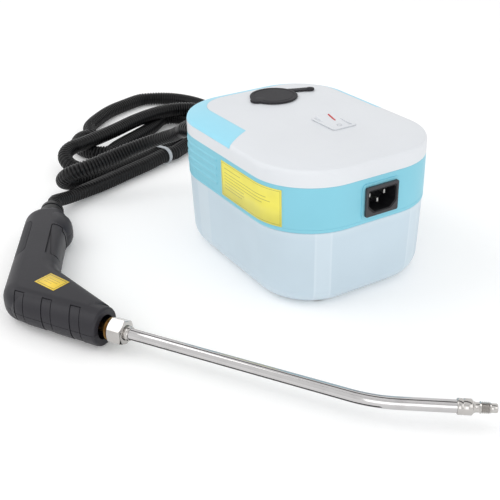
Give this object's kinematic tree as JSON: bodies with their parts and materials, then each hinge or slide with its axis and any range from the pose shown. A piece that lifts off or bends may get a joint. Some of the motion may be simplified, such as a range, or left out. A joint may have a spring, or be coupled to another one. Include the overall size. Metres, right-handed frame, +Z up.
{
  "type": "handheld steam cleaner",
  "caption": "Portable steam cleaner: frosted water tank under a banded housing and cover, with a looped ribbed hose to a pistol-grip handset and bent steel lance.",
  "frame": {"origin": "centre of the tank's flat underside, on the floor", "axes": "+X to the short end with the mains inlet, +Y to the side away from the handset, +Z up"},
  "size_m": [0.6961, 0.3573, 0.123],
  "materials": {
    "tank_frosted": "frosted translucent",
    "band_blue": "satin",
    "inlay_blue": "glossy",
    "cover_white": "glossy",
    "cap_rubber": "matte",
    "rubber_black": "matte",
    "inlet_black": "matte",
    "plastic_black": "matte",
    "handset_grey": "fine grain",
    "trigger_grey": "fine grain",
    "pad_rubber": "matte",
    "hose_black": "satin",
    "tube_clear": "silicone",
    "nylon_grey": "satin",
    "fuse_white": "ceramic white",
    "steel": "brushed",
    "chrome": "polished",
    "brass": "machined",
    "aluminium": "as cast",
    "coil": "lacquered wrap",
    "board": "solder mask"
  },
  "bodies": {
    "cleaner": {"tank": "tank_frosted", "tank_gasket": "rubber_black", "deck_tray": "cover_white", "band_shell": "band_blue", "top_cover": "cover_white", "cover_inlay": "inlay_blue", "filler_neck": "cover_white", "cap_strap_anchor": "cap_rubber", "switch_frame": "cover_white", "inlet_socket": "inlet_black", "live_pin": "steel", "neutral_pin": "steel", "earth_pin": "steel", "boiler_body": "aluminium", "boiler_cover": "aluminium", "heater": "steel", "thermostat_1": "brass", "thermostat_2": "brass", "thermal_fuse": "fuse_white", "safety_valve": "brass", "pump_body": "plastic_black", "pump_coil": "coil", "pump_bracket": "steel", "pump_spring": "steel", "feed_tube": "tube_clear", "suction_tube": "tube_clear", "suction_strainer": "plastic_black", "steam_tube": "tube_clear", "control_board": "board", "housing_screw_1": "steel", "housing_screw_2": "steel", "housing_screw_3": "steel", "housing_screw_4": "steel", "outlet_gland": "rubber_black", "handset_shell_upper": "handset_grey", "handset_shell_lower": "handset_grey", "grip_pad": "pad_rubber", "trigger_pin": "steel", "trigger_spring": "steel", "microswitch": "plastic_black", "handset_steam_pipe": "tube_clear", "union_fitting": "brass", "lance_nut": "chrome", "lance_sleeve": "chrome", "lance_tube": "chrome", "nozzle_fitting": "chrome", "hose_collar": "rubber_black", "hose_outlet_run": "hose_black", "hose_loops": "hose_black", "hose_handle_run": "hose_black", "hose_tie": "nylon_grey"},
    "filler_cap": {"filler_cap": "cap_rubber"},
    "rocker_button": {"rocker_button": "cover_white"},
    "trigger": {"trigger": "trigger_grey"},
    "switch_plunger": {"switch_plunger": "fuse_white"},
    "pump_piston": {"pump_piston": "steel"}
  },
  "joints": [
    {"name": "filler_cap_hinge", "type": "hinge", "parent": "cleaner", "child": "filler_cap", "pos_m": [-0.057, 0.0418, 0.1203], "axis": [-1, 0, 0], "range_deg": [0, 150]},
    {"name": "rocker_switch", "type": "hinge", "parent": "cleaner", "child": "rocker_button", "pos_m": [0.024, 0.0135, 0.1168], "axis": [0, -1, 0], "range_deg": [0, 16]},
    {"name": "trigger_squeeze", "type": "hinge", "parent": "cleaner", "child": "trigger", "pos_m": [-0.10541, -0.19087, 0.015], "axis": [0, 0, -1], "range_deg": [0, 6], "stiffness_Nm_per_rad": 0.5, "springref_deg": -5.73},
    {"name": "plunger_travel", "type": "slide", "parent": "cleaner", "child": "switch_plunger", "axis": [-0.4321, -0.9018, 0], "range_m": [0, 0.00245]},
    {"name": "pump_stroke", "type": "slide", "parent": "cleaner", "child": "pump_piston", "axis": [0, 0, 1], "range_m": [0, 0.003], "stiffness_N_per_m": 300, "springref_m": -0.001, "deforming": ["pump_spring"]}
  ],
  "couplings": [
    {"joint": "plunger_travel", "follows": "trigger_squeeze", "m_per_rad": 0.023}
  ]
}
